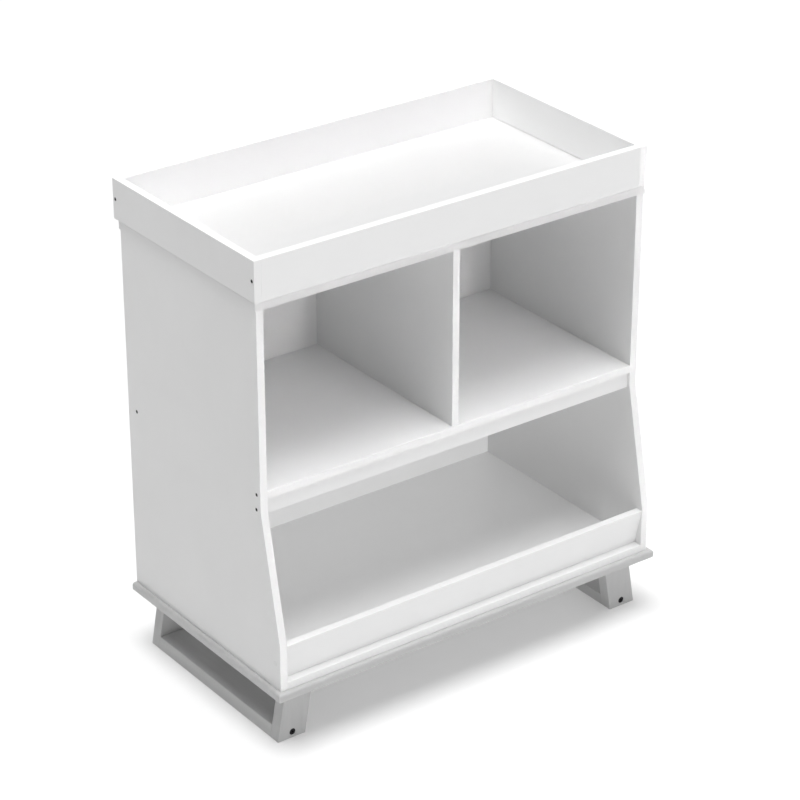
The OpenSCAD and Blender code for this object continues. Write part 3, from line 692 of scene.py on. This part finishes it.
def add_fixings(node, tree, values, seed, name):
    """Replaces a CAD node of fixings by detailed ones of the same places, widths and lengths."""
    finish = finish_of(node)
    by_length = {}
    for fixing in fixings_of(node):
        by_length.setdefault(round(fixing.length, 5), []).append(fixing)
    made = bmesh.new()
    for size, fixings in sorted(by_length.items()):
        first = fixings[0]
        measured = {
            "Head diameter": 2 * first.head_radius,
            "Shank diameter": 2 * first.foot_radius,
            "Length": size,
            "Threaded length": size * 0.6,
        }
        part = grown_mesh(tree, name, fixings, {**values, **measured}, finish, seed)
        made.from_mesh(part)
        bpy.data.meshes.remove(part)
    bmesh.ops.recalc_face_normals(made, faces=made.faces)
    mesh = bpy.data.meshes.new(name)
    made.to_mesh(mesh)
    made.free()
    mesh.shade_smooth()
    mesh.set_sharp_from_angle(angle=SHARP_ANGLE)
    return shown_piece(name, mesh, node, finish)


HEX = True
ROUND = False
SOCKETED = [
    ({}, {"Socket depth": -1.0}, ROUND),
    ({"Socket width": 0.5}, {"Socket depth": -1.0}, HEX),
    ({"Socket width": 0.5}, {"Rim": -0.5}, HEX),
    ({"Socket width": 0.5, "Rim": 0.5}, {}, HEX),
    ({"Head diameter": 0.5, "Rim": -1.0}, {}, ROUND),
    ({"Head diameter": 0.5, "Rim": -0.3}, {"Rim": -0.3}, ROUND),
    ({"Head diameter": 0.5}, {"Rim": -1.0}, ROUND),
    ({"Head diameter": 0.5}, {"Head height": -1.0}, ROUND),
    ({"Shank diameter": 0.5}, {"Head height": -1.0}, ROUND),
    ({"Shank diameter": 0.5}, {"Length": -1.0, "Threaded length": 1.0}, ROUND),
    ({"Shank diameter": 0.5, "Thread depth": -1.0},
     {"Length": -1.0, "Threaded length": 1.0, "Thread depth": -1.0}, ROUND),
    ({"Shank diameter": 0.5, "Thread depth": -1.0}, {"Length": -1.0, "Thread depth": 1.0}, ROUND),
    ({"Shank diameter": 0.3, "Thread depth": -1.0}, {"Length": -1.0}, ROUND),
    ({}, {"Length": -1.0}, ROUND),
]
NAIL = [
    ({}, {}, ROUND),
    ({"Head diameter": 0.2}, {"Head height": -0.06}, ROUND),
    ({"Head diameter": 0.38}, {"Head height": -0.3}, ROUND),
    ({"Head diameter": 0.5}, {"Head height": -0.8}, ROUND),
    ({"Head diameter": 0.5}, {"Head height": -1.0}, ROUND),
    ({"Shank diameter": 0.5}, {"Head height": -1.0}, ROUND),
    ({"Shank diameter": 0.5}, {"Length": -1.0, "Point": 1.0}, ROUND),
    ({}, {"Length": -1.0}, ROUND),
]
CAP = [
    ({}, {}, ROUND),
    ({"Head diameter": 0.2}, {"Head height": -0.05}, ROUND),
    ({"Head diameter": 0.36}, {"Head height": -0.22}, ROUND),
    ({"Head diameter": 0.47}, {"Head height": -0.55}, ROUND),
    ({"Head diameter": 0.5}, {"Head height": -0.9}, ROUND),
    ({"Head diameter": 0.5}, {"Head height": -1.0}, ROUND),
    ({"Shank diameter": 0.5}, {"Head height": -1.0}, ROUND),
    ({"Shank diameter": 0.5}, {"Length": -0.85}, ROUND),
    ({"Shank diameter": 0.45}, {"Length": -1.0}, ROUND),
    ({}, {"Length": -1.0}, ROUND),
]


# ---- operators ----

class FinishesOperator(bpy.types.Operator):
    """Make every finish: paints, laminate, plated metals, beech and plastic"""

    bl_idname = "changing_table.finishes"
    bl_label = "Finishes"

    def execute(self, context):
        make_finishes(context.scene.changing_table_colours)
        return {"FINISHED"}


class TrayBoardsOperator(bpy.types.Operator):
    """Ease the edges of the tray's four rails"""

    bl_idname = "changing_table.tray_boards"
    bl_label = "Tray rails"

    def execute(self, context):
        for node in TRAY_BOARDS:
            eased_board(node, context.scene.changing_table_sizes.board_edge, finish_of(node))
        return {"FINISHED"}


class CabinetBoardsOperator(bpy.types.Operator):
    """Ease the edges of the cabinet's white boards"""

    bl_idname = "changing_table.cabinet_boards"
    bl_label = "Cabinet boards"

    def execute(self, context):
        for node in CABINET_BOARDS:
            eased_board(node, context.scene.changing_table_sizes.board_edge, finish_of(node))
        return {"FINISHED"}


class BackPanelsOperator(bpy.types.Operator):
    """Ease the edges of the two thin back panels"""

    bl_idname = "changing_table.back_panels"
    bl_label = "Back panels"

    def execute(self, context):
        for node in BACK_PANELS:
            eased_board(node, context.scene.changing_table_sizes.panel_edge, finish_of(node))
        return {"FINISHED"}


class BasePlateOperator(bpy.types.Operator):
    """Round and paint the base plate"""

    bl_idname = "changing_table.base_plate"
    bl_label = "Base plate"

    def execute(self, context):
        eased_board("base_plate", context.scene.changing_table_sizes.plate_edge, finish_named("grey_paint_x"))
        return {"FINISHED"}


class FeetOperator(bpy.types.Operator):
    """Ease and paint the boards of the two feet"""

    bl_idname = "changing_table.feet"
    bl_label = "Feet"

    def execute(self, context):
        for side in ("left", "right"):
            for part in FOOT_PARTS:
                axis = "z" if part.endswith("leg") else "y"
                finish = finish_named("grey_paint_" + axis)
                eased_board(f"{side}_foot_{part}", context.scene.changing_table_sizes.foot_edge, finish)
        return {"FINISHED"}


class ScrewsOperator(bpy.types.Operator):
    """Make the furniture screws with hexagon sockets and threads"""

    bl_idname = "changing_table.screws"
    bl_label = "Furniture screws"

    def execute(self, context):
        sizes = context.scene.changing_table_sizes
        values = {
            "Head height": sizes.screw_head,
            "Rim": sizes.screw_rim,
            "Socket width": sizes.screw_socket,
            "Socket depth": sizes.screw_socket_depth,
            "Thread pitch": sizes.thread_pitch,
            "Thread depth": sizes.thread_depth,
        }
        inputs = {
            **values, "Head diameter": 0.007, "Shank diameter": 0.005, "Length": 0.05, "Threaded length": 0.03,
        }
        tree = fixing_tree("furniture_screws", inputs, SOCKETED, threaded=True)
        for node in LONG_SCREWS:
            add_fixings(node, tree, values, sizes.seed, node + "_detailed")
        return {"FINISHED"}


class FootBoltsOperator(bpy.types.Operator):
    """Make the feet's socket bolts"""

    bl_idname = "changing_table.foot_bolts"
    bl_label = "Foot bolts"

    def execute(self, context):
        sizes = context.scene.changing_table_sizes
        values = {
            "Head height": sizes.bolt_head,
            "Rim": sizes.bolt_rim,
            "Socket width": sizes.bolt_socket,
            "Socket depth": sizes.bolt_socket_depth,
            "Thread pitch": sizes.bolt_pitch,
            "Thread depth": sizes.bolt_thread_depth,
        }
        inputs = {
            **values, "Head diameter": 0.013, "Shank diameter": 0.006, "Length": 0.06, "Threaded length": 0.036,
        }
        tree = fixing_tree("socket_bolts", inputs, SOCKETED, threaded=True)
        add_fixings("foot_bolts", tree, values, sizes.seed, "foot_socket_bolts")
        return {"FINISHED"}


class NailsOperator(bpy.types.Operator):
    """Make the domed nails of the back panels"""

    bl_idname = "changing_table.nails"
    bl_label = "Back panel nails"

    def execute(self, context):
        sizes = context.scene.changing_table_sizes
        values = {"Head height": sizes.nail_head, "Point": sizes.nail_point}
        inputs = {**values, "Head diameter": 0.005, "Shank diameter": 0.0018, "Length": 0.0158}
        tree = fixing_tree("domed_nails", inputs, NAIL)
        add_fixings("back_panel_nails", tree, values, sizes.seed, "domed_nails")
        return {"FINISHED"}


class ScrewCapsOperator(bpy.types.Operator):
    """Make the domed caps over the lip's screws"""

    bl_idname = "changing_table.screw_caps"
    bl_label = "Screw caps"

    def execute(self, context):
        sizes = context.scene.changing_table_sizes
        values = {"Head height": sizes.cap_proud}
        inputs = {**values, "Head diameter": 0.011, "Shank diameter": 0.009, "Length": 0.002}
        tree = fixing_tree("push_in_caps", inputs, CAP)
        add_fixings("lip_screw_caps", tree, values, sizes.seed, "push_in_caps")
        return {"FINISHED"}


class InnerFixingsOperator(bpy.types.Operator):
    """Give the dowels and the barrel nuts, which sit inside the boards, their finishes"""

    bl_idname = "changing_table.inner_fixings"
    bl_label = "Dowels and barrel nuts"

    def execute(self, context):
        for node in (*DOWELS, "foot_barrel_nuts"):
            NODES[node].data.materials[0] = finish_of(node)
        return {"FINISHED"}


CAMERA_PLACE = (-2.8735, -3.9090, 2.9538)
CAMERA_HEADING = -0.6366
CAMERA_TILT = -0.4721
CAMERA_LENS = 131.92
SENSOR_WIDTH = 36.0

# Pieces that one light reaches and another doesn't, by the starts of their names.
LIT_PIECES = {
    "top": ("top_panel",),
    "base": ("base_plate", "left_foot", "right_foot", "foot_"),
    "shelf": ("fixed_shelf",),
    "upper_back": ("upper_back_panel",),
    "lower_back": ("lower_back_panel",),
    "uprights": ("left_side_panel", "right_side_panel", "center_divider"),
    "far_rails": ("tray_back_rail", "tray_right_rail"),
}
# Wide soft lights: name, the side each comes from (0 is the front, 90 the right), its height above the
# horizon and its spread, all in degrees, its strength, what it lights and what casts its shadows.
LIGHTS = (
    ("overhead", 0.0, 88.0, 50.0, 3.0, "under_top", "everything"),
    ("top_light", 0.0, 88.0, 10.0, 2.16, "top", "everything"),
    ("floor_light", -90.0, 83.0, 42.0, 1.9, "floor", "base"),
    ("floor_fill", 0.0, 88.0, 5.0, 0.64, "floor", None),
    ("front_fill", 5.0, 20.0, 5.0, 0.43, "cabinet", None),
    ("white_fill", 0.0, 88.0, 5.0, 0.12, "under_top_white", None),
    ("base_light", -30.0, 20.0, 40.0, 0.1, "base", "everything"),
    ("shelf_light", 0.0, 45.0, 40.0, 0.49, "shelf", "everything"),
    ("upper_back_fill", 0.0, 30.0, 5.0, 0.21, "upper_back", None),
    ("lower_back_fill", 0.0, 30.0, 5.0, 0.75, "lower_back", None),
    ("edge_fill", 0.0, 10.0, 5.0, 0.32, "uprights", None),
    ("tray_fill", -57.0, 25.0, 5.0, 1.1, "far_rails", None),
)
SKY_STRENGTH = 0.45
# the sky's strength on its left, as a share of that on its right
SKY_LEFT_SHARE = 0.08
FLOOR_REACH = 40.0


def make_sky(scene):
    """A white sky, weaker on the left."""
    world = bpy.data.worlds.new("sky")
    world.use_nodes = True
    wiring = Wiring(world.node_tree)
    direction = wiring.add("ShaderNodeTexCoord").outputs["Generated"]
    sideways = wiring.add("ShaderNodeSeparateXYZ", {"Vector": direction}).outputs["X"]
    strength = wiring.add("ShaderNodeMapRange", {
        "Value": sideways, "From Min": -0.8, "From Max": 0.4,
        "To Min": SKY_STRENGTH * SKY_LEFT_SHARE, "To Max": SKY_STRENGTH,
    }, interpolation_type="SMOOTHSTEP").outputs[0]
    glow = world.node_tree.nodes["Background"]
    glow.inputs["Color"].default_value = (1.0, 1.0, 1.0, 1.0)
    wiring.tree.links.new(strength, glow.inputs["Strength"])
    scene.world = world


def lit_groups(floor):
    """What each light reaches or is shaded by: the floor, all pieces, or some of them."""
    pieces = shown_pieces()
    groups = {
        name: [piece for piece in pieces if piece.name.startswith(starts)]
        for name, starts in LIT_PIECES.items()
    }
    groups["floor"] = [floor]
    groups["cabinet"] = [piece for piece in pieces if piece not in groups["base"]]
    groups["under_top"] = [piece for piece in pieces if piece not in groups["top"]]
    groups["under_top_white"] = [piece for piece in groups["cabinet"] if piece not in groups["top"]]
    return groups


def gathered(name, things):
    collection = bpy.data.collections.new(name)
    for thing in things:
        collection.objects.link(thing)
    return collection


def add_light(scene, groups, name, side, height, spread, strength, lights, shaded_by):
    """A wide sun from one side, so that its light is even over the whole floor."""
    lamp = bpy.data.lights.new(name, "SUN")
    lamp.angle = math.radians(spread)
    lamp.energy = strength
    light = bpy.data.objects.new(name, lamp)
    light.rotation_euler = (math.radians(90.0 - height), 0.0, math.radians(side))
    light.light_linking.receiver_collection = gathered("lit by " + name, groups[lights])
    lamp.use_shadow = shaded_by is not None
    if shaded_by in groups:
        light.light_linking.blocker_collection = gathered("shades " + name, groups[shaded_by])
    scene.collection.objects.link(light)


class StageOperator(bpy.types.Operator):
    """Set up the camera, the pale floor, the sky and the soft lights"""

    bl_idname = "changing_table.stage"
    bl_label = "Stage"

    def execute(self, context):
        scene = context.scene
        scene.view_settings.view_transform = "Standard"
        lens = bpy.data.cameras.new("camera")
        lens.sensor_width = SENSOR_WIDTH
        lens.lens = CAMERA_LENS
        lens.clip_end = 100.0
        camera = bpy.data.objects.new("camera", lens)
        camera.location = CAMERA_PLACE
        camera.rotation_euler = (math.pi / 2 + CAMERA_TILT, 0.0, CAMERA_HEADING)
        scene.collection.objects.link(camera)
        scene.camera = camera

        corners = [(x * FLOOR_REACH, y * FLOOR_REACH, 0.0) for x, y in ((-1, -1), (1, -1), (1, 1), (-1, 1))]
        ground = bpy.data.meshes.new("floor")
        ground.from_pydata(corners, [], [(0, 1, 2, 3)])
        floor = bpy.data.objects.new("floor", ground)
        scene.collection.objects.link(floor)
        finish, wiring, shader = new_finish("pale_floor")
        shader.inputs["Base Color"].default_value = (*scene.changing_table_colours.floor, 1.0)
        shader.inputs["Roughness"].default_value = 0.9
        shader.inputs["Specular IOR Level"].default_value = 0.1
        ground.materials.append(finish)
        floor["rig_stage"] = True

        make_sky(scene)
        groups = lit_groups(floor)
        for light in LIGHTS:
            add_light(scene, groups, *light)
        return {"FINISHED"}


OPERATORS = (
    FinishesOperator, TrayBoardsOperator, CabinetBoardsOperator, BackPanelsOperator,
    BasePlateOperator, FeetOperator, ScrewsOperator, FootBoltsOperator, NailsOperator,
    ScrewCapsOperator, InnerFixingsOperator, StageOperator,
)


class ChangingTablePanel(bpy.types.Panel):
    """Sidebar panel with the changing table's sizes, colours and steps"""

    bl_idname = "VIEW3D_PT_changing_table"
    bl_label = "Changing table"
    bl_space_type = "VIEW_3D"
    bl_region_type = "UI"
    bl_category = "Changing Table"

    def draw(self, context):
        for group in (context.scene.changing_table_sizes, context.scene.changing_table_colours):
            column = self.layout.column(align=True)
            for name in group.__annotations__:
                column.prop(group, name)
        column = self.layout.column(align=True)
        for operator in OPERATORS:
            column.operator(operator.bl_idname)


CLASSES = (ChangingTableSizes, ChangingTableColours, *OPERATORS, ChangingTablePanel)


def register():
    for made in CLASSES:
        bpy.utils.register_class(made)
    bpy.types.Scene.changing_table_sizes = PointerProperty(type=ChangingTableSizes)
    bpy.types.Scene.changing_table_colours = PointerProperty(type=ChangingTableColours)


def unregister():
    del bpy.types.Scene.changing_table_colours
    del bpy.types.Scene.changing_table_sizes
    for made in reversed(CLASSES):
        bpy.utils.unregister_class(made)


def main():
    register()
    for operator in OPERATORS:
        prefix, name = operator.bl_idname.split(".")
        getattr(getattr(bpy.ops, prefix), name)()


if __name__ == "__main__":
    main()
